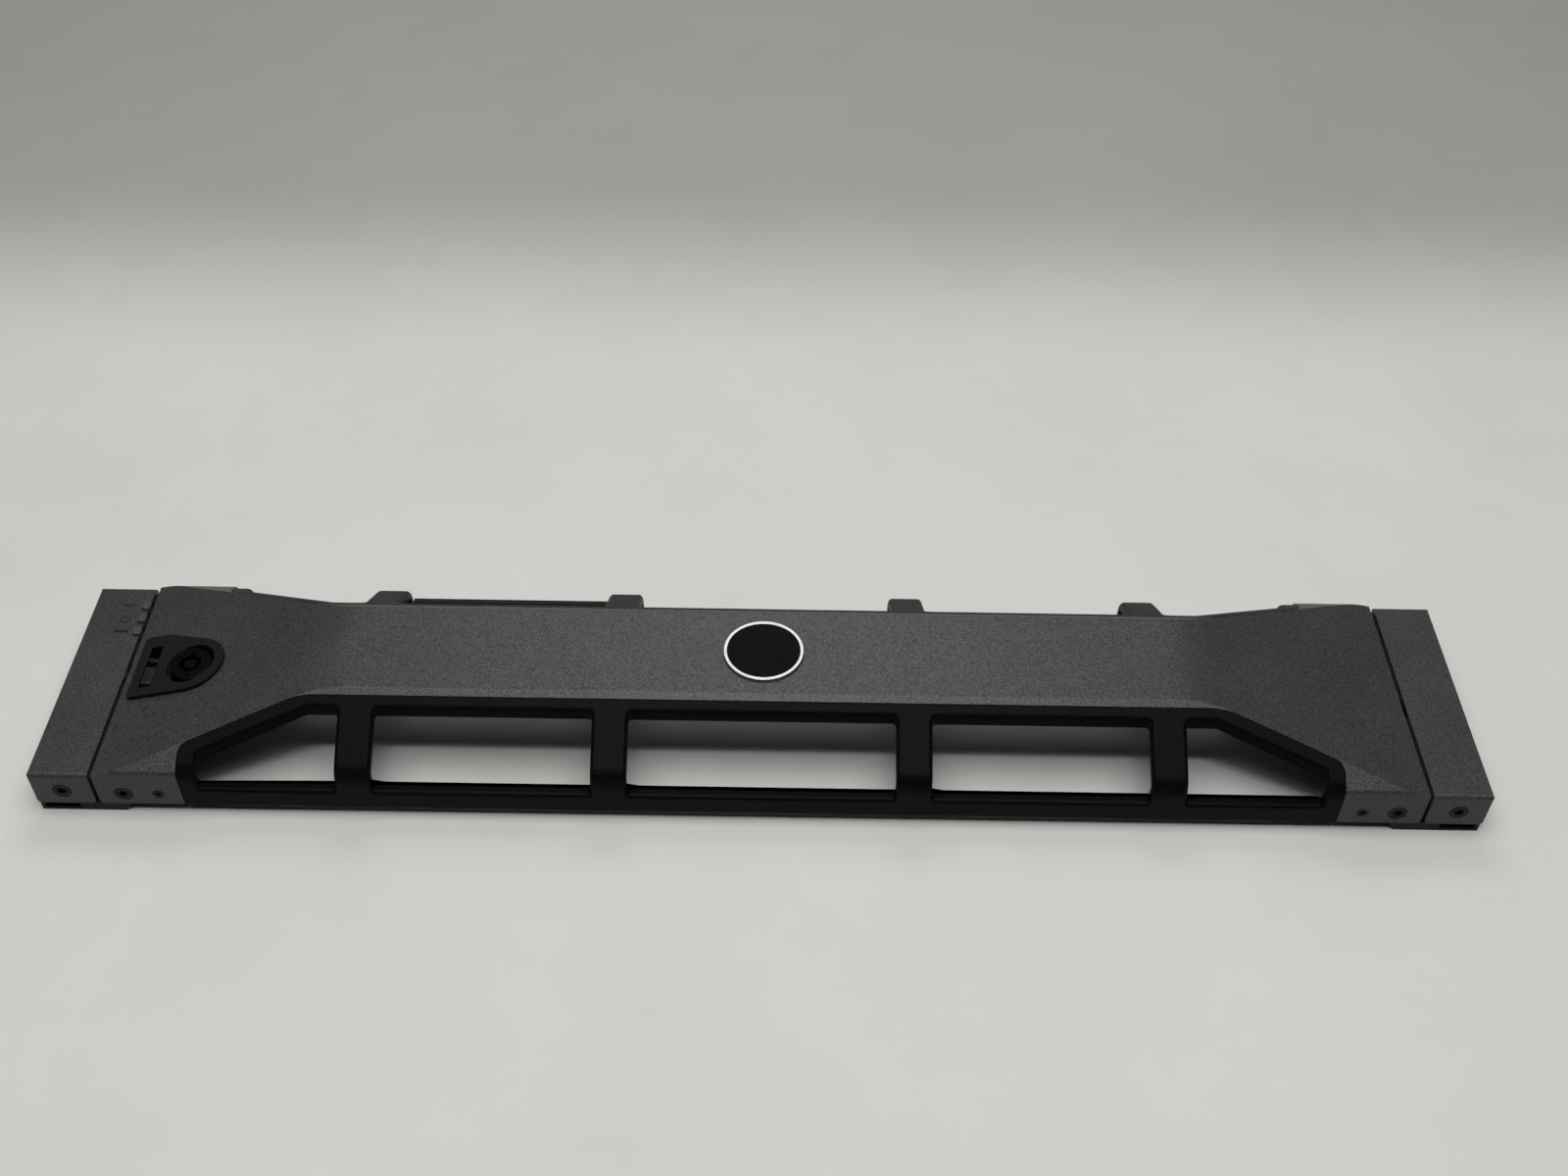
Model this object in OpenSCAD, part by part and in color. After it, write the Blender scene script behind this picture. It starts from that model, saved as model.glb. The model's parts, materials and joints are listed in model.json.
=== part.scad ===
// Lockable front bezel for a two-unit rack machine, lying on its back with its front up.

/* [Overall] */
// Width over both end caps, the 19-inch panel width
width = 482.6; // [470:0.1:500]
// Height of the front, from the bottom flange to the top flange
height = 88; // [84:0.1:90]
// Depth of the flanges behind the face of the end caps
shell_depth = 14; // [13.6:0.1:20]
// How far the end blocks stand out behind the flanges
block_drop = 4.1; // [3.6:0.1:8]
// Wall thickness of the fascia and the end caps
wall = 1.6; // [1:0.1:1.7]

/* [Fascia] */
// How far the middle band stands in front of the end caps
band_rise = 17.7; // [12:0.1:20]
// Length of each ramp, from the seam to the bend into the band
ramp_run = 73.1; // [65:0.1:80]
// Height of the level face of the band
band_face = 37.2; // [35:0.2:38]
// Height of the long folds above the end caps' face
fold_rise = 1.3; // [0.4:0.1:3]
// Radius of the bends between the ramps and the band
ramp_bend_r = 70; // [10:1:80]
// Radius of the long folds of the fascia
fold_r = 2; // [1.8:0.1:4]
// Radius of the creases along the band
crease_r = 1; // [0.2:0.1:3]
// Radius of the corners at the rear edge of the flanges
flange_corner_r = 1.5; // [0.5:0.1:4]
// Gap between the fascia and the grille frames
frame_gap = 0.4; // [0.15:0.05:0.8]

/* [End caps] */
// Width of each end cap
cap_w = 19.8; // [19:0.1:21]
// Gap between an end cap and the fascia
seam_gap = 1.4; // [1:0.1:1.8]
// Rounding of the caps' long front edges
cap_edge_r = 1.8; // [1:0.1:3]
// Rounding of the caps' outer ends
cap_end_r = 0.6; // [0.3:0.1:1.5]

/* [Grille] */
// Distance of the frames' inner edge from the middle line
seam_y = 21.3; // [20:0.1:22.5]
// Distance of the knee in the frames' inner edge from the seam
knee_in = 66.6; // [62:0.1:70]
// Distance of the frames' ends from the seam
frame_end_in = 28.4; // [26.5:0.1:30]
// Where the slanted inner edge meets the frames' ends
frame_end_y = 35.9; // [34:0.1:37]
// Radius at the knee of the inner edge
knee_r = 30; // [10:1:40]
// Radius where the slanted edge meets the end
frame_corner_r = 4.5; // [2:0.1:6]
// Thickness of the frames' skin
frame_t = 2.1; // [1.9:0.1:2.6]
// Radius of the frames' long folds
frame_fold_r = 8.5; // [2.6:0.1:10]
// Width of the bar between the inner edge and the windows
bar_w = 3.3; // [2.6:0.1:4.5]
// Width of the slanted bar beside the end windows
slant_bar_w = 4; // [3:0.1:5]
// Width of the post at the outer ends of the windows
post_w = 5.7; // [4.5:0.1:7]
// Width of the mullions
mullion_w = 12; // [9:0.5:16]
// Place of the inner mullions, as a share of the frames' half length
mullion_in_share = 0.263; // [0.2:0.001:0.32]
// Place of the outer mullions, as a share of the frames' half length
mullion_out_share = 0.702; // [0.66:0.001:0.715]
// Radius of the windows' corners
window_r = 1.2; // [0.5:0.1:4]
// Height of the rail under the windows
rail_h = 7.7; // [6:0.1:9]
// Thickness of the rail
rail_t = 4; // [3:0.1:5]
// How far the frames lap behind the fascia
lap = 5; // [3:0.1:6]
// Thickness of the lap behind the fascia
lap_t = 1.5; // [1:0.1:2]
// Thickness of the sealing strip in the top grille
strip_t = 2.2; // [1.5:0.1:3]
// Height of the sealing strip above the rail
strip_h = 4.2; // [3:0.1:6]

/* [End blocks] */
// Length of an end block along the front
block_len = 30.2; // [28:0.1:32]
// Length of the blocks' screw pads behind the flanges
pad_depth = 8.7; // [8:0.1:11]
// Height of the blocks' pads over the flanges' rear edge
pad_h = 12.1; // [11.6:0.1:12.2]
// Width of the strip behind the seam
backer_w = 4.5; // [4:0.1:5]
// Length of the gap in the strip behind the left seam
left_notch = 9; // [7:0.1:10]
// Length of the gap in the strip behind the right seam
right_notch = 8; // [6:0.1:10]

/* [Screws] */
// Distance of the cap screws from the outer end
cap_screw_x = 9.8; // [8:0.1:10.5]
// Depth of the cap screws behind the caps' face
cap_screw_z = 7.9; // [7:0.1:9]
// Distance of the fascia screws from the seam
fascia_screw_x = 8.7; // [7:0.1:9.5]
// Distance of the frame screws from the seam
frame_screw_x = 20.3; // [19:0.1:22]
// Depth of the fascia and frame screws behind the caps' face
fascia_screw_z = 8.9; // [7.5:0.1:9.5]
// Head radius of the cap and fascia screws
head_r = 2.95; // [2.4:0.05:3.2]
// Shank radius of the cap and fascia screws
shank_r = 1.45; // [1:0.05:1.7]
// Head radius of the frame screws
small_head_r = 1.8; // [1.4:0.05:2.2]
// Shank radius of the frame screws
small_shank_r = 0.9; // [0.6:0.05:1]
// Length of the cap and fascia screws
screw_len = 8; // [6:0.1:9]
// Clearance around the screws
screw_gap = 0.2; // [0.05:0.01:0.25]

/* [Lock] */
// Distance of the lock's axis from the left seam
lock_in = 23.2; // [22.8:0.1:25]
// Height of the lock's axis above the middle line
lock_y = 0.4; // [0.2:0.1:1.2]
// How far the lock's face stands in front of the caps' face
lock_face = 7.2; // [6:0.1:9]
// Radius of the lock's face
lock_r = 7.5; // [6.8:0.1:7.6]
// Thickness of the lock's head
lock_head_t = 4.5; // [3.5:0.1:5]
// Radius of the lock's threaded body
lock_body_r = 6; // [5.5:0.1:6.3]
// Outer radius of the ring keyway
keyway_r = 3.7; // [3.3:0.1:4]
// Radius of the post inside the ring keyway
post_r = 2.1; // [1.6:0.1:2.4]
// Depth of the ring keyway
keyway_depth = 6.4; // [4:0.1:8]
// Width of the notch in the ring keyway
notch_w = 1.2; // [0.8:0.1:1.6]
// Radius of the pins in the keyway
pin_r = 0.45; // [0.3:0.05:0.6]
// Radial clearance between the plug and the barrel
plug_gap = 0.05; // [0.02:0.01:0.08]
// Radius of the pocket around the lock
pocket_r = 8.5; // [8:0.1:8.8]
// Half width of the pocket between its flats
pocket_flat = 7.8; // [7.7:0.05:8]
// Width across the flats of the lock nut
nut_af = 14; // [13:0.1:15]
// Thickness of the lock nut
nut_t = 2.8; // [2:0.1:3.5]
// Reach of the cam from the lock's axis
cam_reach = 13.5; // [11:0.1:14]
// Width of the cam
cam_w = 5; // [4.8:0.1:5.2]
// Thickness of the cam
cam_t = 1.6; // [1:0.1:2]
// Width of the plug's square end
square_w = 3.6; // [3.4:0.1:3.8]

/* [Lock plate] */
// How far the plate stands over the ramp
plate_rise = 1.45; // [0.3:0.05:2]
// Thickness of the plate's rim behind the fascia
rim_t = 1.2; // [0.8:0.1:1.4]
// Width of the plate's rim behind the fascia
rim_w = 1.2; // [0.8:0.1:1.3]
// Distance of the plate's left edge from the seam
plate_in = 2.7; // [2.5:0.1:3]
// Height of the plate's flat top above the middle line
plate_top = 16.7; // [16.2:0.1:18]
// Distance of the plate's upper right corner from the seam
plate_corner_in = 11.9; // [11:0.1:13]
// Radius of the plate's round end
plate_r = 11.9; // [11.5:0.1:12.3]
// Height of the plate's round end above the middle line
plate_y = 0.3; // [0.1:0.1:1]
// Radius of the plate's small corners
plate_corner_r = 2; // [0.5:0.1:3]
// Gap between the plate and the fascia
plate_gap = 0.15; // [0.05:0.05:0.3]

/* [Latch] */
// Distance of the latch slot's middle from the seam
latch_in = 8.5; // [8.2:0.1:8.8]
// Width of the latch slot
slot_w = 4.3; // [4:0.1:4.8]
// Lower end of the latch slot below the middle line
slot_low = 7.7; // [7:0.1:8]
// Upper end of the latch slot above the middle line
slot_high = 11.2; // [10.8:0.1:12.5]
// Width of the latch button
button_w = 3.4; // [2.6:0.1:3.6]
// Length of the latch button
button_len = 9; // [7:0.1:9.5]
// Distance from the button's lower end to the slot's lower end
button_low = 1.6; // [1:0.1:2]
// How far the button stands over the caps' face
button_top = 3.4; // [2.5:0.1:5]
// Thickness of the slider's rib
rib_t = 1.7; // [1:0.1:2]
// Gap between the button and the rib
rib_gap = 2; // [1.5:0.1:2.1]
// Travel of the latch
travel = 4.2; // [3:0.1:4.2]
// Width of the slider plate
slider_w = 7.4; // [6.5:0.1:7.6]
// Thickness of the slider plate
slider_t = 2; // [1.5:0.1:2.1]
// Length of the latch bar
bar_len = 54; // [46:0.5:57]
// Width of the latch bar
bar_x = 4; // [3:0.1:5]
// Thickness of the arm and the latch bar
arm_t = 2; // [1.6:0.1:2.5]
// Width of a hook
hook_w = 5; // [4:0.1:6]
// Length of a hook's nose
nose = 2.5; // [1.5:0.1:3]
// Outer radius of the latch spring
spring_r = 1.6; // [1.2:0.1:1.7]
// Wire radius of the latch spring
wire_r = 0.25; // [0.2:0.01:0.3]
// Turns of the latch spring
turns = 5; // [4:0.5:7]
// Length of the latch spring at rest
spring_len = 9.3; // [9:0.1:10]

/* [Light pipes] */
// Width of a light pipe across the seam
pipe_w = 3; // [2.6:0.1:3.4]
// Length of a light pipe along the seam
pipe_len = 3.7; // [3:0.1:4.6]
// Pitch of the light pipes
pipe_pitch = 6.3; // [5.8:0.1:6.6]
// Distance of the middle light pipe from the top flange
pipe_in = 16.2; // [15.6:0.05:16.5]
// Distance the pipes stand out of the cap into the seam
pipe_out = 0.6; // [0.4:0.1:0.9]
// How far the pipes' rounded tops stand over the caps' face
pipe_top = 1.2; // [0:0.1:2]
// Depth of the pipes behind the caps' face
pipe_depth = 11; // [9:0.1:12]

/* [Badge] */
// Outer radius of the badge's ring
badge_r = 13.7; // [12:0.1:16]
// Width of the badge's ring
badge_ring_w = 1.4; // [0.8:0.1:2.5]
// Height of the ring over the band
badge_h = 1; // [0.6:0.1:2]
// Height of the disc over the band
disc_h = 0.6; // [0.3:0.1:1.5]

/* [Hidden] */
$fn = 48;

half_w = width / 2;
half_h = height / 2;
pipe_y = half_h - pipe_in;
face_z = block_drop + shell_depth;
rear_z = block_drop;
band_z = face_z + band_rise;
fascia_half = half_w - cap_w - seam_gap;
cap_in = fascia_half + seam_gap;
band_half = fascia_half - ramp_run;
knee_x = fascia_half - knee_in;
frame_end_x = fascia_half - frame_end_in;
window_end_x = frame_end_x - post_w;
mullion_in_x = mullion_in_share * frame_end_x;
mullion_out_x = mullion_out_share * frame_end_x;
ramp_k = band_rise / ramp_run;
ramp_s = sqrt(1 + ramp_k * ramp_k);
fold_m = (band_rise - fold_rise) / (half_h - band_face / 2);
fold_s = sqrt(1 + fold_m * fold_m);
far = 60;
frame_m = (frame_end_y - seam_y) / (frame_end_x - knee_x);
frame_s = sqrt(1 + frame_m * frame_m);
bar_y = seam_y + bar_w;
rail_z = rear_z + rail_h;
under = 0.15;
in_y = half_h - wall - under;
pad_in = in_y - pad_depth;
block_out = half_w - 0.7;
block_in = block_out - block_len;
pad_x = fascia_half - 13.6;
backer_z = face_z - wall * ramp_s - under;
backer_x = fascia_half - 1;
backer_t = 1.6;
lock_x = -fascia_half + lock_in;
latch_x = -fascia_half + latch_in;
pocket_z = face_z + lock_face - lock_head_t;
boss_z = pocket_z - 3;
nut_z = boss_z - nut_t;
barrel_z = face_z - 9;
plug_z = barrel_z - 0.3;
cam_z = plug_z - cam_t - 0.4;
plate_low = wall + under + rim_t;
slider_top = face_z + ramp_k * (latch_in - slider_w / 2) - plate_low * ramp_s - 0.3;
slider_z = slider_top - slider_t;
arm_z = slider_z - arm_t;
slider_low = -8.9;
slider_high = 9.1;
post_x = lock_x - sqrt(pow(cam_reach + 0.3, 2) - pow(lock_y - slider_low - 2.2, 2));
arm_low = slider_high - 5.8;
arm_high = slider_high - 0.8;
cover_low = slider_low + 2.2 + travel + 0.4;
cover_high = arm_low - 0.4;
bar_cx = -half_w + 7.3;
bar_top = arm_z;
spring_y = slider_high + 0.3;
stop_y = spring_y + spring_len;
spring_z = slider_z + slider_t / 2;
pipe_x = -cap_in - pipe_w / 2 + pipe_out;
left_notch_y = 8 - left_notch;
right_notch_y = -right_notch;

function unit(v) = v / norm(v);
function bend(a) = (a + 540) % 360 - 180;
function arc(c, r, a, d, n) =
  [for (j = [0:n]) c + r * [cos(a + d * j / n), sin(a + d * j / n)]];
function turn_in(p, a, b, r, n) =
  let (h = acos(a * b) / 2)
  let (c = p + unit(a + b) * r / sin(h))
  let (s = p + a * r / tan(h) - c)
  let (e = p + b * r / tan(h) - c)
  let (t = atan2(s[1], s[0]))
  arc(c, r, t, bend(atan2(e[1], e[0]) - t), n);
function corner(o, p, q, r, n) =
  r <= 0 ? [p] : turn_in(p, unit(o - p), unit(q - p), r, n);
function rounded(p, r, n) =
  let (m = len(p))
  [for (i = [0:m - 1]) each corner(p[(i + m - 1) % m], p[i], p[(i + 1) % m], r[i], n)];

// Height of the ramp and of the slope, moved inwards by a distance
function ramp_z(x, i) = face_z + ramp_k * (fascia_half - x) - i * ramp_s;
function slope_z(y, i) = band_z - fold_m * (y - band_face / 2) - i * fold_s;
function slope_y(i) = band_face / 2 - i * (fold_s - 1) / fold_m;
function ramp_x(i) = band_half - i * (ramp_s - 1) / ramp_k;

// The front's profile seen from below, and seen from the end
function long_profile(i, end, foot, foot_r) = rounded([
  [-end, foot], [end, foot], [end, ramp_z(end, i)], [ramp_x(i), band_z - i],
  [-ramp_x(i), band_z - i], [-end, ramp_z(end, i)]],
  [foot_r, foot_r, 0, ramp_bend_r - i, ramp_bend_r - i, 0], 6);
function side_profile(i, fold, foot) = rounded([
  [-half_h + i, foot], [half_h - i, foot], [half_h - i, slope_z(half_h - i, i)],
  [slope_y(i), band_z - i], [-slope_y(i), band_z - i],
  [-half_h + i, slope_z(half_h - i, i)]],
  [0, 0, max(fold - i, 0.2), crease_r, crease_r, max(fold - i, 0.2)], 5);

module along_y(len) rotate([90, 0, 0]) linear_extrude(len, center = true) children();
module along_x(len) rotate([90, 0, 90]) linear_extrude(len, center = true) children();
module upright(low, high) translate([0, 0, low]) linear_extrude(high - low) children();
module box(x0, x1, y0, y1, z0, z1)
  translate([x0, y0, z0]) cube([x1 - x0, y1 - y0, z1 - z0]);

// The front's form moved inwards by a distance, from a rear height up
module form(i, end, fold, foot, foot_r) {
  intersection() {
    along_y(2 * height) polygon(long_profile(i, end, foot, foot_r));
    along_x(2 * width) polygon(side_profile(i, fold, foot));
  }
}

// Plan of the place of a grille frame, grown by a distance
function frame_plan(g) = rounded([
  [-knee_x - g * (frame_s - 1) / frame_m, seam_y - g],
  [knee_x + g * (frame_s - 1) / frame_m, seam_y - g],
  [frame_end_x + g, frame_end_y + g * frame_m - g * frame_s], [frame_end_x + g, far],
  [-frame_end_x - g, far], [-frame_end_x - g, frame_end_y + g * frame_m - g * frame_s]],
  [knee_r, knee_r, frame_corner_r, 0, 0, frame_corner_r], 6);

// Plan of one window: a plain one, and the one with the slanted bar
function slant_y(x) = seam_y + frame_m * (x - knee_x) + slant_bar_w * frame_s;
function slant_x(y) = knee_x + (y - seam_y - slant_bar_w * frame_s) / frame_m;
function window_plan(a, b) =
  rounded([[a, bar_y], [b, bar_y], [b, far], [a, far]], [window_r, window_r, 0, 0], 5);
function end_plan(a, b) = rounded([
  [a, bar_y], [slant_x(bar_y), bar_y], [b, slant_y(b)], [b, far], [a, far]],
  [window_r, knee_r / 6, window_r, 0, 0], 5);

module window_side(a, b) {
  along_y(2 * height) polygon(rounded([
    [a, rail_z], [b, rail_z], [b, band_z + 5], [a, band_z + 5]],
    [window_r, window_r, 0, 0], 5));
}

module plain_window(a, b) {
  intersection() {
    upright(rear_z - 1, band_z + 5) polygon(window_plan(a, b));
    window_side(a, b);
  }
}

module end_window(a, b) {
  intersection() {
    upright(rear_z - 1, band_z + 5) polygon(end_plan(a, b));
    window_side(a, b);
  }
}

module windows() {
  plain_window(-mullion_in_x + mullion_w / 2, mullion_in_x - mullion_w / 2);
  for (s = [0, 1]) mirror([s, 0, 0]) {
    plain_window(mullion_in_x + mullion_w / 2, mullion_out_x - mullion_w / 2);
    end_window(mullion_out_x + mullion_w / 2, window_end_x);
  }
}

// A countersunk screw lying in a flange, its head flush with the outside
module star(r) polygon([for (j = [0:11]) (j % 2 == 0 ? r : 0.72 * r) * [cos(j * 30), sin(j * 30)]]);

module at_flange(x, z, side) {
  translate([x, side * half_h, z]) rotate([side * 90, 0, 0]) children();
}

module screw(head, shank, len) {
  difference() {
    union() {
      translate([0, 0, 0.1]) cylinder(h = head - shank + 0.01, r1 = head, r2 = shank);
      cylinder(h = 0.1001, r = head);
      translate([0, 0, head - shank]) cylinder(h = len - head + shank, r = shank);
    }
    translate([0, 0, -0.01]) linear_extrude(head * 0.35) star(head * 0.6);
  }
}

module screw_hole(head, shank, len) {
  g = screw_gap;
  translate([0, 0, 0.1]) cylinder(h = head - shank + 0.01, r1 = head + g, r2 = shank + g);
  translate([0, 0, -1]) cylinder(h = 1.1001, r = head + g);
  translate([0, 0, head - shank]) cylinder(h = len - head + shank + 0.3, r = shank + g);
}

module each_corner(x, z) {
  for (s = [-1, 1], t = [-1, 1]) at_flange(s * x, z, t) children();
}

module cap_screw_places() each_corner(half_w - cap_screw_x, face_z - cap_screw_z) children();
module fascia_screw_places()
  each_corner(fascia_half - fascia_screw_x, face_z - fascia_screw_z) children();
module grille_screw_places()
  each_corner(fascia_half - frame_screw_x, face_z - fascia_screw_z) children();

// Outline of the lock plate, grown by a distance
plate_c = [lock_x, plate_y];
plate_p = [-fascia_half + plate_corner_in, plate_top];
function plate_tip(g) = plate_p + g * [0.6, 1];
function plate_turn(g) =
  let (v = plate_tip(g) - plate_c) atan2(v[1], v[0]) - acos((plate_r + g) / norm(v));
function plate_outline(g) =
  let (l = -fascia_half + plate_in - g)
  let (b = plate_y - plate_r - g)
  let (c = max(plate_corner_r + g, 0.3))
  concat(
    corner([l, 0], [l, b], [0, b], c, 5),
    arc(plate_c, plate_r + g, -90, plate_turn(g) + 90, 18),
    [plate_tip(g)],
    corner(plate_tip(g), [l, plate_top + g], [l, 0], c, 5));

// A slab under the left ramp between two depths
module ramp_slab(a, b) {
  e = -lock_x - plate_r - 8;
  along_y(2 * height) polygon([
    [-fascia_half - 1, ramp_z(fascia_half + 1, b)], [-e, ramp_z(e, b)],
    [-e, ramp_z(e, a)], [-fascia_half - 1, ramp_z(fascia_half + 1, a)]]);
}

module double_d(r, flat) {
  rotate(45) intersection() {
    circle(r);
    square([2 * r + 2, 2 * flat], center = true);
  }
}

module pipe_plan(y, g) {
  translate([pipe_x, y]) polygon(rounded([
    [-pipe_w / 2 - g, -pipe_len / 2 - g], [pipe_w / 2 + g, -pipe_len / 2 - g],
    [pipe_w / 2 + g, pipe_len / 2 + g], [-pipe_w / 2 - g, pipe_len / 2 + g]],
    [1.2, 1.2, 1.2, 1.2], 4));
}

module pipe(y) {
  top = face_z + pipe_top;
  intersection() {
    upright(face_z - pipe_depth, top) pipe_plan(y, 0);
    translate([0, y, 0]) along_x(2 * width) polygon(rounded([
      [-pipe_len, 0], [pipe_len, 0], [pipe_len, top - 0.8], [0.8, top], [-0.8, top],
      [-pipe_len, top - 0.8]], [0, 0, 0, 2, 2, 0], 4));
  }
}

module fascia() color([0.33, 0.35, 0.36]) {
  difference() {
    form(0, fascia_half, fold_r, rear_z, flange_corner_r);
    form(wall, fascia_half + 2, fold_r, rear_z - 1, 0);
    for (s = [0, 1]) mirror([0, s, 0])
      upright(rear_z - 1, band_z + 5) polygon(frame_plan(frame_gap));
    upright(rear_z, band_z) polygon(plate_outline(0));
    fascia_screw_places() screw_hole(head_r, shank_r, screw_len);
    grille_screw_places() screw_hole(small_head_r, small_shank_r, screw_len / 2);
    for (s = [-1, 1]) translate([s * badge_r / 2, 0, band_z - 4]) cylinder(h = 8, r = 1.25);
  }
}

module cap(side) {
  r = cap_edge_r;
  e = cap_end_r;
  f = flange_corner_r;
  mirror([side < 0 ? 1 : 0, 0, 0]) difference() {
    intersection() {
      along_y(height) polygon(rounded([
        [cap_in, rear_z], [half_w, rear_z], [half_w, face_z], [cap_in, face_z]],
        [f, f, e, 0], 5));
      along_x(2 * width) polygon(rounded([
        [-half_h, rear_z - 1], [half_h, rear_z - 1], [half_h, face_z], [-half_h, face_z]],
        [0, 0, r, r], 5));
      upright(rear_z, face_z) polygon(rounded([
        [cap_in, -half_h], [half_w, -half_h], [half_w, half_h], [cap_in, half_h]],
        [0, e, e, 0], 5));
    }
    box(cap_in - 1, half_w - wall, -half_h + wall, half_h - wall, rear_z - 1, face_z - wall);
  }
}

module left_end_cap() color([0.3, 0.32, 0.33]) {
  difference() {
    cap(-1);
    cap_screw_places() screw_hole(head_r, shank_r, screw_len);
    for (j = [-1:1])
      upright(face_z - 5, face_z + 5) pipe_plan(pipe_y + j * pipe_pitch, 0.1);
  }
}

module right_end_cap() color([0.3, 0.32, 0.33]) {
  difference() {
    cap(1);
    cap_screw_places() screw_hole(head_r, shank_r, screw_len);
  }
}

// The upper grille frame: a skin flush with the fascia, a lap behind it and a thick rail
module grille() {
  difference() {
    union() {
      difference() {
        intersection() {
          form(0, fascia_half, frame_fold_r, rear_z, 0);
          upright(rear_z - 1, band_z + 5) polygon(frame_plan(0));
        }
        form(frame_t, fascia_half + 2, frame_fold_r, rear_z - 1, 0);
      }
      difference() {
        intersection() {
          form(wall + under, fascia_half, fold_r, rear_z, 0);
          upright(rear_z - 1, band_z + 5) polygon(frame_plan(lap));
        }
        form(wall + under + lap_t, fascia_half + 2, fold_r, rear_z - 1, 0);
      }
      box(-frame_end_x, frame_end_x, half_h - rail_t, half_h - 1, rear_z, rail_z);
      for (s = [0, 1]) mirror([s, 0, 0])
        box(frame_end_x - 3, fascia_half - frame_screw_x + 4, in_y - 4, in_y,
          rear_z + 0.5, face_z - 4);
    }
    windows();
    grille_screw_places() screw_hole(small_head_r, small_shank_r, screw_len / 2);
    box(-width, width, -height, 8, 0, 2 * band_z);
  }
}

module upper_grille() color([0.1, 0.11, 0.12]) grille();
module lower_grille() color([0.1, 0.11, 0.12]) mirror([0, 1, 0]) grille();

module sealing_strip() color([0.2, 0.2, 0.21]) {
  a = -mullion_out_x + mullion_w / 2 + 0.4;
  b = -mullion_in_x - mullion_w / 2 - 0.4;
  r = window_r + 0.4;
  translate([0, half_h - rail_t + 0.6 + strip_t / 2, 0]) along_y(strip_t) polygon(rounded([
    [a, rail_z], [b, rail_z], [b, rail_z + strip_h], [a, rail_z + strip_h]],
    [r, r, 0.6, 0.6], 5));
}

// An end block on the right: base plate, two screw pads, strip behind the seam
module block() {
  difference() {
    union() {
      along_y(2 * half_h - 0.8) polygon([
        [block_in + 2.2, 0], [block_out, 0], [block_out, rear_z - 0.1],
        [block_in, rear_z - 0.1], [block_in, rear_z - 1.4]]);
      for (s = [-1, 1]) box(pad_x, half_w - wall - 0.2, s > 0 ? pad_in : -in_y,
        s > 0 ? in_y : -pad_in, rear_z - 0.2, rear_z + pad_h);
      box(backer_x, backer_x + backer_w, -in_y, in_y, backer_z - backer_t, backer_z);
      box(backer_x, backer_x + 1.2, -in_y, in_y, rear_z - 0.2, backer_z);
    }
    for (s = [-1, 1]) box(block_in + 17, block_out - 1.4, s > 0 ? half_h - 8 : -half_h,
      s > 0 ? half_h : -half_h + 8, 1, rear_z - 0.9);
    for (s = [0, 1]) mirror([0, s, 0]) box(pad_x - 1, block_in - 0.01, -half_h, -in_y + 0.6, 0,
      rear_z + pad_h / 2 - 4);
  }
}

module hook_slots(x, up) {
  for (s = [-1, 1]) box(x - bar_x / 2 - 0.8, x + bar_x / 2 + 0.8,
    s * (bar_len - hook_w) / 2 - hook_w / 2 - 0.8,
    s * (bar_len - hook_w) / 2 + hook_w / 2 + nose + up + 0.8, -1, rear_z + 0.5);
}

module left_end_block() color([0.06, 0.06, 0.07]) {
  difference() {
    mirror([1, 0, 0]) block();
    cap_screw_places() screw_hole(head_r, shank_r, screw_len);
    fascia_screw_places() screw_hole(head_r, shank_r, screw_len);
    hook_slots(bar_cx, travel);
    box(-cap_in, -backer_x + 1, left_notch_y, 8, rear_z + 0.5, face_z);
    box(-cap_in, -backer_x + 1, left_notch_y, 18.6, rear_z + 0.5, backer_z - backer_t);
    box(-cap_in - 6.5, -cap_in + 1, pipe_y - 1.5 * pipe_pitch - 0.2,
      pipe_y + 1.5 * pipe_pitch + 0.2, rear_z + 1, face_z);
    box(-block_in - 10, -block_in + 1, -20, 20, -1, rear_z + 1);
  }
}

module right_end_block() color([0.06, 0.06, 0.07]) {
  difference() {
    block();
    cap_screw_places() screw_hole(head_r, shank_r, screw_len);
    fascia_screw_places() screw_hole(head_r, shank_r, screw_len);
    box(backer_x - 1, cap_in + 10, right_notch_y, 0, rear_z + 0.5, face_z);
    hook_slots(-bar_cx, 0);
  }
}

// A bar with two hooks pointing up, its rear end just clear of the table
module hook_bar(x, top) {
  box(x - bar_x / 2, x + bar_x / 2, -bar_len / 2, bar_len / 2, top - arm_t, top);
  for (s = [-1, 1]) translate([0, s * (bar_len - hook_w) / 2, 0]) {
    box(x - bar_x / 2, x + bar_x / 2, -hook_w / 2, hook_w / 2, 0.4, top);
    along_hook(x);
  }
}

module along_hook(x) {
  translate([x, 0, 0]) along_x(bar_x) polygon([
    [hook_w / 2 - 0.1, 0.4], [hook_w / 2 + nose * 0.4, 0.4], [hook_w / 2 + nose, 1.6],
    [hook_w / 2 + nose, 2.4], [hook_w / 2 - 0.1, 2.4]]);
}

module right_hooks() color([0.5, 0.5, 0.52]) hook_bar(-bar_cx, rear_z + arm_t + 0.5);

module cap_screws() color([0.3, 0.3, 0.32]) cap_screw_places() screw(head_r, shank_r, screw_len);
module fascia_screws() color([0.3, 0.3, 0.32])
  fascia_screw_places() screw(head_r, shank_r, screw_len);
module grille_screws() color([0.3, 0.3, 0.32])
  grille_screw_places() screw(small_head_r, small_shank_r, screw_len / 2);

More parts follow.
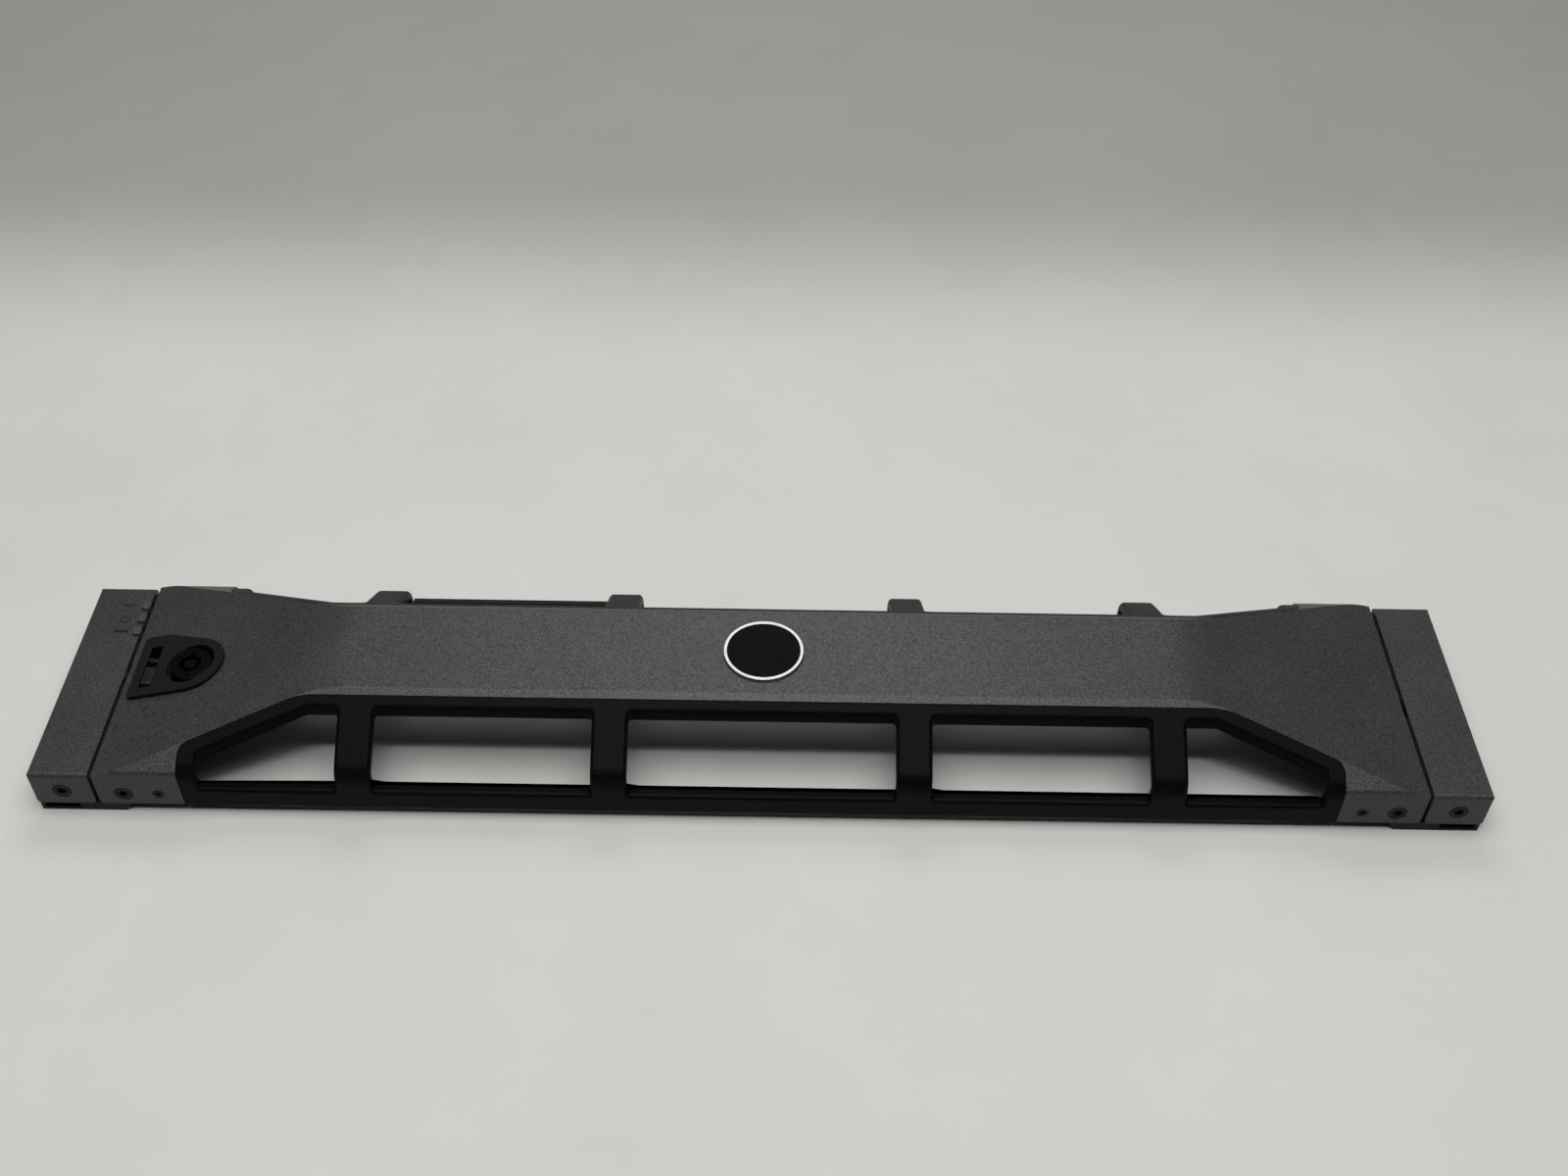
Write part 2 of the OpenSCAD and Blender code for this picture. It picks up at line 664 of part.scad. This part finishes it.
module lock_plate() color([0.05, 0.05, 0.06]) {
  low = plate_low;
  difference() {
    union() {
      intersection() {
        upright(rear_z, band_z) polygon(plate_outline(-plate_gap));
        ramp_slab(-plate_rise, low);
      }
      intersection() {
        upright(rear_z, band_z) polygon(plate_outline(rim_w));
        ramp_slab(wall + under, low);
        box(-backer_x + 0.4, 0, -height, height, 0, 2 * band_z);
      }
      intersection() {
        upright(boss_z, band_z) translate([lock_x, lock_y]) circle(9.8);
        ramp_slab(wall + under, 40);
      }
      // Stop for the spring, and rails beside the slider
      intersection() {
        box(latch_x - 3.4, latch_x + 3.4, plate_top - 2, stop_y + 1.5, rear_z, face_z + 9);
        ramp_slab(wall + under, low);
      }
      intersection() {
        box(latch_x - 3.4, latch_x + 3.4, stop_y, stop_y + 1.5, spring_z - 2, face_z + 9);
        ramp_slab(low - 0.3, 40);
      }
      for (s = [-1, 1]) intersection() {
        translate([latch_x + s * (slider_w / 2 + 0.7), 0, 0])
          box(-0.65, 0.65, slider_low, slider_high + travel, slider_z + 0.35, face_z + 9);
        ramp_slab(low - 0.3, 40);
      }
    }
    box(latch_x - slot_w / 2, latch_x + slot_w / 2, -slot_low, slot_high, rear_z, band_z);
    upright(pocket_z, band_z) translate([lock_x, lock_y]) double_d(pocket_r, pocket_flat);
    translate([lock_x, lock_y, rear_z]) cylinder(h = 40, r = lock_body_r + 0.05);
  }
}

module lock_barrel() color([0.2, 0.2, 0.21]) translate([lock_x, lock_y, 0]) {
  top = face_z + lock_face;
  difference() {
    union() {
      translate([0, 0, pocket_z]) cylinder(h = lock_head_t - 0.5, r = lock_r);
      translate([0, 0, top - 0.5]) cylinder(h = 0.5, r1 = lock_r, r2 = lock_r - 0.5);
      translate([0, 0, barrel_z]) cylinder(h = pocket_z - barrel_z, r = lock_body_r);
    }
    translate([0, 0, barrel_z - 1]) cylinder(h = 40, r = keyway_r);
    translate([-notch_w / 2, 0, top - 3]) cube([notch_w, keyway_r + 1.3, 4]);
  }
}

module lock_nut() color([0.55, 0.55, 0.56]) translate([lock_x, lock_y, nut_z]) {
  difference() {
    cylinder(h = nut_t, r = nut_af / sqrt(3), $fn = 6);
    translate([0, 0, -1]) cylinder(h = nut_t + 2, r = lock_body_r + 0.05);
  }
}

module lock_plug() color([0.45, 0.45, 0.46]) translate([lock_x, lock_y, 0]) {
  key_z = face_z + lock_face - keyway_depth;
  difference() {
    union() {
      translate([0, 0, plug_z]) cylinder(h = key_z - plug_z, r = keyway_r - plug_gap);
      translate([0, 0, key_z - 1]) cylinder(h = keyway_depth + 0.7, r = post_r);
      translate([-square_w / 2, -square_w / 2, cam_z]) cube([square_w, square_w, 3]);
      for (j = [0:6]) rotate(j * 360 / 7) translate([(keyway_r + post_r) / 2, 0, key_z - 1])
        cylinder(h = keyway_depth - 0.6, r = pin_r, $fn = 24);
    }
    translate([0, 0, cam_z - 1]) cylinder(h = 7, r = 1.1, $fn = 32);
  }
}

module lock_cam() color([0.6, 0.6, 0.6]) translate([lock_x, lock_y, cam_z]) {
  w = square_w + 0.1;
  difference() {
    union() {
      cylinder(h = cam_t, r = 4.2);
      translate([-cam_reach + cam_w / 2, -cam_w / 2, 0]) cube([cam_reach - cam_w / 2, cam_w, cam_t]);
      translate([-cam_reach + cam_w / 2, 0, 0]) cylinder(h = cam_t, r = cam_w / 2);
    }
    translate([-w / 2, -w / 2, -1]) cube([w, w, cam_t + 2]);
  }
}

module cam_screw() color([0.6, 0.6, 0.6]) translate([lock_x, lock_y, cam_z]) {
  difference() {
    union() {
      translate([0, 0, -1.6]) cylinder(h = 1.58, r = 3.2);
      translate([0, 0, -0.5]) cylinder(h = 6, r = 1.05, $fn = 32);
    }
    translate([-2.4, -0.4, -2]) cube([4.8, 0.8, 1]);
  }
}

module latch_slider() color([0.12, 0.12, 0.13]) {
  b = -slot_low + button_low;
  box(latch_x - slider_w / 2, latch_x + slider_w / 2, slider_low, slider_high,
    slider_z, slider_top);
  translate([latch_x, 0, 0]) along_x(button_w) polygon([
    [b, slider_top - 0.1], [b + button_len, slider_top - 0.1],
    [b + button_len, face_z + button_top - 1.2], [b + button_len - 1.4, face_z + button_top],
    [b + 0.5, face_z + button_top], [b, face_z + button_top - 0.5]]);
  box(latch_x - button_w / 2, latch_x + button_w / 2, b + button_len + rib_gap,
    b + button_len + rib_gap + rib_t, slider_top - 0.1, face_z + button_top - 0.9);
  box(latch_x, post_x, slider_low, slider_low + 2.2, cam_z, slider_z + 0.1);
}

module latch_bar() color([0.5, 0.5, 0.52]) {
  hook_bar(bar_cx, rear_z + 5.5);
  box(bar_cx - bar_x / 2, latch_x + slider_w / 2, arm_low, arm_high, arm_z, slider_z);
  box(bar_cx - bar_x / 2, bar_cx + bar_x / 2, arm_low, arm_high, rear_z + 5, slider_z);
}

// A round wire wound into a spring, lying along the slider's travel
module latch_spring() color([0.7, 0.7, 0.72]) {
  n = 18 * turns;
  r = spring_r - wire_r;
  ring = [for (j = [0:n]) for (i = [0:7])
    [(r + wire_r * cos(i * 45)) * cos(j * 20), wire_r * sin(i * 45)
      + wire_r + (spring_len - 2 * wire_r) * j / n, (r + wire_r * cos(i * 45)) * sin(j * 20)]];
  sides = [for (j = [0:n - 1]) for (i = [0:7])
    [j * 8 + i, j * 8 + (i + 1) % 8, j * 8 + 8 + (i + 1) % 8, j * 8 + 8 + i]];
  ends = [[for (i = [0:7]) 7 - i], [for (i = [0:7]) n * 8 + i]];
  translate([latch_x, spring_y, spring_z]) polyhedron(ring, concat(sides, ends), convexity = 10);
}

module latch_cover() color([0.08, 0.08, 0.09]) {
  box(latch_x - slider_w / 2 - 1.35, latch_x + slider_w / 2 + 1.35, cover_low, cover_high,
    slider_z - 1.5, slider_z - 0.3);
  for (s = [-1, 1]) translate([latch_x + s * (slider_w / 2 + 0.7), 0, 0])
    box(-0.65, 0.65, cover_low, cover_high, slider_z - 0.4, slider_z + 0.35);
}

module light_pipe_upper() color([0.7, 0.72, 0.74]) pipe(pipe_y + pipe_pitch);
module light_pipe_middle() color([0.7, 0.72, 0.74]) pipe(pipe_y);
module light_pipe_lower() color([0.7, 0.72, 0.74]) pipe(pipe_y - pipe_pitch);

module light_pipe_holder() color([0.08, 0.08, 0.09]) {
  difference() {
    box(pipe_x - pipe_w / 2 - 2.6, pipe_x + 0.2, pipe_y - 1.5 * pipe_pitch,
      pipe_y + 1.5 * pipe_pitch, rear_z + 1.2, face_z - 7);
    for (j = [-1:1]) upright(0, face_z + 5) pipe_plan(pipe_y + j * pipe_pitch, 0.04);
  }
}

module badge_ring() color([0.75, 0.75, 0.76]) translate([0, 0, band_z]) {
  difference() {
    cylinder(h = badge_h, r = badge_r);
    translate([0, 0, -1]) cylinder(h = badge_h + 2, r = badge_r - badge_ring_w);
  }
}

module badge_disc() color([0.04, 0.04, 0.05]) translate([0, 0, band_z]) {
  cylinder(h = disc_h, r = badge_r - badge_ring_w - 0.05);
  for (s = [-1, 1]) translate([s * badge_r / 2, 0, -wall - 1]) cylinder(h = wall + 1.1, r = 1.2);
}

fascia();
left_end_cap();
right_end_cap();
upper_grille();
lower_grille();
sealing_strip();
left_end_block();
right_end_block();
right_hooks();
cap_screws();
fascia_screws();
grille_screws();
lock_plate();
lock_barrel();
lock_nut();
lock_plug();
lock_cam();
cam_screw();
latch_slider();
latch_bar();
latch_spring();
latch_cover();
light_pipe_upper();
light_pipe_middle();
light_pipe_lower();
light_pipe_holder();
badge_ring();
badge_disc();
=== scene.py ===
"""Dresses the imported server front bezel: camera, light, materials and rounded edges."""

import json
import math

import bmesh
import bpy
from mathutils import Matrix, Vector


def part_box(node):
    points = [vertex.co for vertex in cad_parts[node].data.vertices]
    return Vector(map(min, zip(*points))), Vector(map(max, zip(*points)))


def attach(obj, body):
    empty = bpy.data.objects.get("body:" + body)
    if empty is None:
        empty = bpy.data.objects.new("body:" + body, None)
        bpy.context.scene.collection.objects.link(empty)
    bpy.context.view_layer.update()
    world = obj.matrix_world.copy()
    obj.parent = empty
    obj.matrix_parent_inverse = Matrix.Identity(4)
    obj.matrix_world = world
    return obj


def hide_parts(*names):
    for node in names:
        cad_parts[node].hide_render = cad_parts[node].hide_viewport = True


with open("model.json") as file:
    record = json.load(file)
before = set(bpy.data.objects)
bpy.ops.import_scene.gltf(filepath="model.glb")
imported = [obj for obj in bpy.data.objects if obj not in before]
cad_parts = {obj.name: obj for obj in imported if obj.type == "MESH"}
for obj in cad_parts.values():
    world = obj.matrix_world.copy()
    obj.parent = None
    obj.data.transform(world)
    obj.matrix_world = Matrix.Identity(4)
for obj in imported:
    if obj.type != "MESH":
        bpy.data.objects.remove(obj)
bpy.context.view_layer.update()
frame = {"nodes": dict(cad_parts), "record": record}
MM = 0.001
SENSOR_MM = 36
LENS_MM = 39.667
CAMERA_PLACE = (0.0052, -0.4013, 0.4632)
CAMERA_TURN = (0.79106, -0.00229, 0.01573)
FLOOR_HALF = 3.0
# Painted shade on the floor: between these two Y places (m) its colour is scaled down to this
# factor
PAINTED_SHADE_START, PAINTED_SHADE_END, PAINTED_SHADE_FACTOR = 0.2, 0.36, 0.58
HAIR = 0.0001
SEAM_SNAP = 0.000002
FLAT_ANGLE = 0.4
scene = bpy.context.scene
scene.view_settings.view_transform = "Standard"

BODY_OF = {n: b for b, names in frame["record"]["behaviour"]["bodies"].items() for n in names}
SLOT_OF = {s["node"]: s["material_slot"] for s in frame["record"]["subparts"]}


# ---------------------------------------------------------------- camera

def make_camera():
    """The photograph's view: in front of the bezel and above it, looking down at 45 degrees."""
    data = bpy.data.cameras.new("camera")
    data.sensor_width = SENSOR_MM
    data.lens = LENS_MM
    camera = bpy.data.objects.new("camera", data)
    camera.location = CAMERA_PLACE
    camera.rotation_mode = "ZYX"
    camera.rotation_euler = CAMERA_TURN
    scene.collection.objects.link(camera)
    scene.camera = camera


# ---------------------------------------------------------------- node helpers

class Shader:
    """A material or world node tree with short calls to add and join nodes."""

    def __init__(self, tree):
        self.tree = tree
        tree.nodes.clear()

    def add(self, kind, **sockets):
        node = self.tree.nodes.new(kind)
        for name, value in sockets.items():
            if hasattr(node, name):
                setattr(node, name, value)
            else:
                node.inputs[name.replace("_", " ")].default_value = value
        return node

    def join(self, a, out, b, into):
        self.tree.links.new(a.outputs[out], b.inputs[into])

    def noise(self, scale, detail=2.0, rough=0.5):
        place = self.add("ShaderNodeTexCoord")
        noise = self.add("ShaderNodeTexNoise", Scale=scale, Detail=detail, Roughness=rough)
        self.join(place, "Object", noise, "Vector")
        return noise

    def ramp(self, node, out, stops):
        ramp = self.add("ShaderNodeValToRGB")
        e = ramp.color_ramp.elements
        while len(e) < len(stops):
            e.new(0.5)
        for i, (at, value) in enumerate(stops):
            e[i].position = at
            e[i].color = (*value, 1) if isinstance(value, tuple) else (value, value, value, 1)
        self.join(node, out, ramp, "Fac")
        return ramp

    def bump(self, node, out, strength, distance):
        bump = self.add("ShaderNodeBump", Strength=strength, Distance=distance)
        self.join(node, out, bump, "Height")
        return bump


def principled(name, **sockets):
    material = bpy.data.materials.new(name)
    material.use_nodes = True
    shader = Shader(material.node_tree)
    out = shader.add("ShaderNodeOutputMaterial")
    surface = shader.add("ShaderNodeBsdfPrincipled")
    for key, value in sockets.items():
        surface.inputs[key.replace("_", " ")].default_value = value
    shader.join(surface, "BSDF", out, "Surface")
    return material, shader, surface


def grey(v, tint=(1, 1, 1)):
    return tuple(v * t for t in tint)


# ---------------------------------------------------------------- materials

def speckled_paint(name, base, metallic, roughness, cell, depth):
    """Metallic paint: fine light and dark flakes, a faint cloudiness and an orange peel."""
    material, s, surface = principled(name, Metallic=metallic, Specular_IOR_Level=0.35)
    flakes = s.noise(cell, 1.0, 0.6)
    cloud = s.noise(38.0, 3.0)
    tint = (0.93, 1.0, 1.0)
    dark, light = grey(0.5 * base, tint), grey(1.7 * base, tint)
    colour = s.ramp(flakes, "Fac", [(0.36, dark), (0.64, light)])
    shade = s.ramp(cloud, "Fac", [(0.3, 0.93), (0.7, 1.05)])
    mixed = s.add("ShaderNodeMix", data_type="RGBA", blend_type="MULTIPLY")
    mixed.inputs[0].default_value = 1.0
    s.tree.links.new(colour.outputs["Color"], mixed.inputs[6])
    s.tree.links.new(shade.outputs["Color"], mixed.inputs[7])
    s.tree.links.new(mixed.outputs[2], surface.inputs["Base Color"])
    rough = s.ramp(cloud, "Fac", [(0.3, roughness - 0.03), (0.7, roughness + 0.04)])
    s.join(rough, "Color", surface, "Roughness")
    peel = s.bump(flakes, "Fac", depth, 0.0001)
    s.join(peel, "Normal", surface, "Normal")
    return material


def moulded(name, base, roughness, grain, depth, tint=(1, 1, 1), **more):
    """Moulded plastic with a spark-eroded grain."""
    material, s, surface = principled(name, **more)
    coarse = s.noise(grain, 3.0, 0.6)
    colour = s.ramp(coarse, "Fac", [(0.3, grey(0.7 * base, tint)), (0.7, grey(1.35 * base, tint))])
    s.join(colour, "Color", surface, "Base Color")
    rough = s.ramp(coarse, "Fac", [(0.3, roughness + 0.06), (0.7, roughness - 0.06)])
    s.join(rough, "Color", surface, "Roughness")
    s.join(s.bump(coarse, "Fac", depth, 0.0002), "Normal", surface, "Normal")
    return material


def metal(name, base, roughness, brush=(900.0, 40.0, 40.0), depth=0.05):
    """Metal with fine lines along one direction."""
    material, s, surface = principled(name, Metallic=1.0)
    place = s.add("ShaderNodeTexCoord")
    stretch = s.add("ShaderNodeMapping")
    stretch.inputs["Scale"].default_value = brush
    s.join(place, "Object", stretch, "Vector")
    lines = s.add("ShaderNodeTexNoise", Scale=4.0, Detail=3.0)
    s.join(stretch, "Vector", lines, "Vector")
    colour = s.ramp(lines, "Fac", [(0.3, grey(0.85 * base)), (0.7, grey(1.1 * base))])
    s.join(colour, "Color", surface, "Base Color")
    rough = s.ramp(lines, "Fac", [(0.3, roughness - 0.05), (0.7, roughness + 0.08)])
    s.join(rough, "Color", surface, "Roughness")
    s.join(s.bump(lines, "Fac", depth, 0.00005), "Normal", surface, "Normal")
    return material


def make_materials():
    return {
        "fascia_paint": speckled_paint("fascia_paint", 0.046, 0.3, 0.42, 2000.0, 0.35),
        "grille_black": moulded("grille_black", 0.002, 0.42, 1500.0, 0.9, Specular_IOR_Level=0.06),
        "strip_foam": moulded("strip_foam", 0.012, 0.8, 1400.0, 0.5, Specular_IOR_Level=0.2),
        "block_black": moulded("block_black", 0.005, 0.5, 1800.0, 0.3, Specular_IOR_Level=0.2),
        "hook_steel": metal("hook_steel", 0.5, 0.35),
        "dark_screw": metal("dark_screw", 0.02, 0.42, (300.0, 300.0, 300.0)),
        "lock_black": moulded("lock_black", 0.006, 0.36, 1800.0, 0.3, (0.9, 1, 1.03),
                              Specular_IOR_Level=0.25),
        "lock_metal": metal("lock_metal", 0.009, 0.3, (300.0, 300.0, 300.0)),
        "zinc_steel": metal("zinc_steel", 0.55, 0.35, (200.0, 200.0, 200.0)),
        "latch_black": moulded("latch_black", 0.008, 0.3, 2200.0, 0.2, Specular_IOR_Level=0.3),
        "spring_steel": metal("spring_steel", 0.6, 0.25),
        "pipe_clear": moulded("pipe_clear", 0.055, 0.35, 900.0, 0.05, (0.97, 1, 1),
                              Specular_IOR_Level=0.25),
        "badge_metal": metal("badge_metal", 0.38, 0.3, (120.0, 120.0, 900.0)),
        "badge_black": moulded("badge_black", 0.004, 0.5, 700.0, 0.04, Specular_IOR_Level=0.03),
        "icon_ink": moulded("icon_ink", 0.006, 0.5, 900.0, 0.1, Specular_IOR_Level=0.2),
    }


# ---------------------------------------------------------------- floor and light

def make_floor():
    """A pale matt table with painted shade: a little darker behind, where its colour stands in for
    light falling off.
    """
    material, s, surface = principled("floor", Roughness=0.75, Specular_IOR_Level=0.2)
    scuffs = s.noise(9.0, 8.0, 0.65)
    colour = s.ramp(scuffs, "Fac", [(0.3, (0.6, 0.617, 0.583)), (0.7, (0.647, 0.662, 0.63))])
    place = s.add("ShaderNodeTexCoord")
    split = s.add("ShaderNodeSeparateXYZ")
    s.join(place, "Object", split, "Vector")
    # Painted shade: the table colour is scaled down along Y, in place of light falling off behind
    painted_shade = s.add("ShaderNodeMapRange")
    painted_shade.interpolation_type = "SMOOTHSTEP"
    for name, value in (("From Min", PAINTED_SHADE_START), ("From Max", PAINTED_SHADE_END),
                        ("To Min", 1.0), ("To Max", PAINTED_SHADE_FACTOR)):
        painted_shade.inputs[name].default_value = value
    s.join(split, "Y", painted_shade, "Value")
    mixed = s.add("ShaderNodeVectorMath", operation="SCALE")
    s.tree.links.new(colour.outputs["Color"], mixed.inputs[0])
    s.tree.links.new(painted_shade.outputs["Result"], mixed.inputs["Scale"])
    s.tree.links.new(mixed.outputs["Vector"], surface.inputs["Base Color"])
    mesh = bpy.data.meshes.new("floor")
    corners = [(x * FLOOR_HALF, y * FLOOR_HALF, 0) for x, y in ((-1, -1), (1, -1), (1, 1), (-1, 1))]
    mesh.from_pydata(corners, [], [(0, 1, 2, 3)])
    mesh.materials.append(material)
    floor = bpy.data.objects.new("floor", mesh)
    scene.collection.objects.link(floor)


def area_light(name, place, target, size, power):
    data = bpy.data.lights.new(name, "AREA")
    data.shape = "RECTANGLE"
    data.size, data.size_y = size
    data.energy = power
    lamp = bpy.data.objects.new(name, data)
    lamp.location = place
    lamp.rotation_mode = "QUATERNION"
    lamp.rotation_quaternion = (Vector(target) - Vector(place)).to_track_quat("-Z", "Y")
    scene.collection.objects.link(lamp)


def make_light():
    """Soft light from above and behind, a narrow lamp over the camera, a dim world in front."""
    world = bpy.data.worlds.new("world")
    scene.world = world
    world.use_nodes = True
    s = Shader(world.node_tree)
    out = s.add("ShaderNodeOutputWorld")
    back = s.add("ShaderNodeBackground", Strength=1.0)
    place = s.add("ShaderNodeTexCoord")
    split = s.add("ShaderNodeSeparateXYZ")
    s.join(place, "Generated", split, "Vector")
    shade = s.ramp(split, "Y", [(0.0, 0.03), (1.0, 0.23)])
    s.join(shade, "Color", back, "Color")
    s.join(back, "Background", out, "Surface")
    area_light("overhead", (0.0, -0.15, 1.3), (0, -0.1, 0), (1.5, 0.9), 13.6)
    area_light("front", (0.0, -0.5, 1.3), (0, 0, 0), (0.45, 0.07), 3.1)
    area_light("behind", (0.0, 1.0, 1.1), (0, 0, 0), (0.8, 0.5), 4.3)


# ---------------------------------------------------------------- pieces

def own(piece, node):
    """Lets a piece ride with its CAD node's body."""
    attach(piece, BODY_OF[node])


def window_edges(work):
    """The edges all round a grille's windows, and the rail's upper inner edges."""
    half = max(abs(v.co.y) for v in work.verts)
    skin = [f for f in work.faces if abs(f.normal.y) > 0.95
            and abs(f.calc_center_median().y) > half - HAIR]
    end = max(abs(v.co.x) for f in skin for v in f.verts) - 0.002
    rail = max(f.calc_center_median().z for f in work.faces if f.normal.z > 0.99
               and abs(f.calc_center_median().y) > half - 0.005)

    def kind(face):
        n, c = face.normal, face.calc_center_median()
        out = n.y * (1 if c.y > 0 else -1)
        if out > 0.4 and abs(n.x) < 0.1 and (n.z > 0.05 or abs(c.y) > half - HAIR):
            return "skin"
        if abs(c.x) < end and abs(n.y) < 0.1 and n.z > 0.05 and abs(c.y) > half - 0.006:
            return "rail"
        if abs(c.x) < end and abs(n.z) < 0.05 and out > -0.1:
            return "wall"
        return "back" if out < -0.9 and c.z < rail else ""

    wanted = ({"skin", "wall"}, {"skin", "rail"}, {"rail", "back"})
    return [e for e in work.edges if len(e.link_faces) == 2
            and math.degrees(e.calc_face_angle(0.0)) > 25
            and {kind(f) for f in e.link_faces} in wanted]


def dressed(node, material, bevel=0.0, segments=3, angle=30.0, crease=14.0, windows=0.0):
    """A copy of a CAD node with its sharp edges rounded, standing for the node."""
    mesh = frame["nodes"][node].data.copy()
    piece = bpy.data.objects.new(node + "_shell", mesh)
    scene.collection.objects.link(piece)
    work = bmesh.new()
    work.from_mesh(mesh)
    bmesh.ops.remove_doubles(work, verts=work.verts, dist=SEAM_SNAP)
    bmesh.ops.dissolve_limit(work, angle_limit=math.radians(FLAT_ANGLE), verts=work.verts,
                             edges=work.edges)
    for face in work.faces:
        face.smooth = True
    for edge in work.edges:
        turn = math.degrees(edge.calc_face_angle(0.0)) if len(edge.link_faces) == 2 else 0.0
        edge.smooth = not (crease < turn < (angle if bevel else 181.0))
    if windows:
        bmesh.ops.bevel(work, geom=window_edges(work), offset=windows * MM, segments=5,
                        profile=0.5, affect="EDGES", clamp_overlap=False)
    work.to_mesh(mesh)
    work.free()
    mesh.materials.clear()
    mesh.materials.append(material)
    if bevel:
        rounding = piece.modifiers.new("rounding", "BEVEL")
        rounding.width = bevel * MM
        rounding.segments = segments
        rounding.limit_method = "ANGLE"
        rounding.angle_limit = math.radians(angle)
    shading = piece.modifiers.new("shading", "WEIGHTED_NORMAL")
    shading.keep_sharp = True
    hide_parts(node)
    own(piece, node)
    return piece


def strokes(name, node, slot, place, lines, width, height):
    """Thin printed lines on a flat face: each line is a list of points in millimetres."""
    work = bmesh.new()
    for line in lines:
        left, right = [], []
        for i, (x, y) in enumerate(line):
            x0, y0 = line[max(i - 1, 0)]
            x1, y1 = line[min(i + 1, len(line) - 1)]
            run = math.hypot(x1 - x0, y1 - y0)
            nx, ny = -(y1 - y0) / run * width / 2, (x1 - x0) / run * width / 2
            left.append((x + nx, y + ny))
            right.append((x - nx, y - ny))
        for i in range(len(line) - 1):
            base = [left[i], right[i], right[i + 1], left[i + 1]]
            low = [work.verts.new(((place[0] + x) * MM, (place[1] + y) * MM, place[2] * MM))
                   for x, y in base]
            top = [work.verts.new(((place[0] + x) * MM, (place[1] + y) * MM,
                                   (place[2] + height) * MM)) for x, y in base]
            work.faces.new(top)
            work.faces.new(low[::-1])
            for j in range(4):
                work.faces.new((low[j], low[(j + 1) % 4], top[(j + 1) % 4], top[j]))
    bmesh.ops.recalc_face_normals(work, faces=work.faces)
    mesh = bpy.data.meshes.new(name)
    work.to_mesh(mesh)
    work.free()
    mesh.materials.append(materials[slot])
    piece = bpy.data.objects.new(name, mesh)
    scene.collection.objects.link(piece)
    own(piece, node)


def turned(radius, start, end, steps, cx=0.0, cy=0.0):
    """Points along an arc, in millimetres, from one angle to another."""
    return [(cx + radius * math.cos(math.radians(start + (end - start) * i / steps)),
             cy + radius * math.sin(math.radians(start + (end - start) * i / steps)))
            for i in range(steps + 1)]


def make_icons():
    """Small printed signs beside the light pipes: pulse, power and a branched line."""
    low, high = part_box("left_end_cap")
    top = high[2] / MM
    middle = [sum(v) / 2 / MM for v in zip(*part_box("light_pipe_middle"))]
    pitch = middle[1] - sum(v[1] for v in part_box("light_pipe_lower")) / 2 / MM
    x = low[0] / MM + 12.9
    pulse = [[(-2.3, 0.0), (-0.7, 0.0), (-0.25, -0.9), (0.35, 1.9), (0.75, 0.0), (2.3, 0.0)]]
    power = [turned(1.55, 118, 422, 22), [(0.0, 0.7), (0.0, 2.1)]]
    branch = [[(-2.4, 0.0), (2.4, 0.0)], [(0.0, -1.1), (0.0, 1.1)],
              turned(0.7, 0, 360, 12, -1.7, 0.3), turned(0.7, 0, 360, 12, 1.7, 0.3)]
    for name, lines, y in (("icon_pulse", pulse, middle[1] + pitch + 0.6),
                           ("icon_power", power, middle[1] - 0.1),
                           ("icon_branch", branch, middle[1] - pitch + 0.2)):
        strokes(name, "left_end_cap", "icon_ink", (x, y, top - 0.01), lines, 0.45, 0.03)


make_camera()
make_floor()
make_light()
materials = make_materials()

for node, piece in frame["nodes"].items():
    piece.data.materials.clear()
    piece.data.materials.append(materials[SLOT_OF[node]])

for node, bevel in (("fascia", 0.2), ("left_end_cap", 0.2), ("right_end_cap", 0.2),
                    ("left_end_block", 0.4), ("right_end_block", 0.4), ("sealing_strip", 0.3),
                    ("lock_plate", 0.25), ("latch_slider", 0.25), ("lock_barrel", 0.25),
                    ("lock_plug", 0.1), ("cap_screws", 0.12), ("fascia_screws", 0.12),
                    ("grille_screws", 0.12), ("right_hooks", 0.3), ("latch_bar", 0.3),
                    ("light_pipe_upper", 0.25), ("light_pipe_middle", 0.25),
                    ("light_pipe_lower", 0.25), ("badge_ring", 0.3), ("badge_disc", 0.1)):
    dressed(node, materials[SLOT_OF[node]], bevel)
for node in ("upper_grille", "lower_grille"):
    dressed(node, materials[SLOT_OF[node]], 0.2, crease=21.0, windows=1.5)
make_icons()
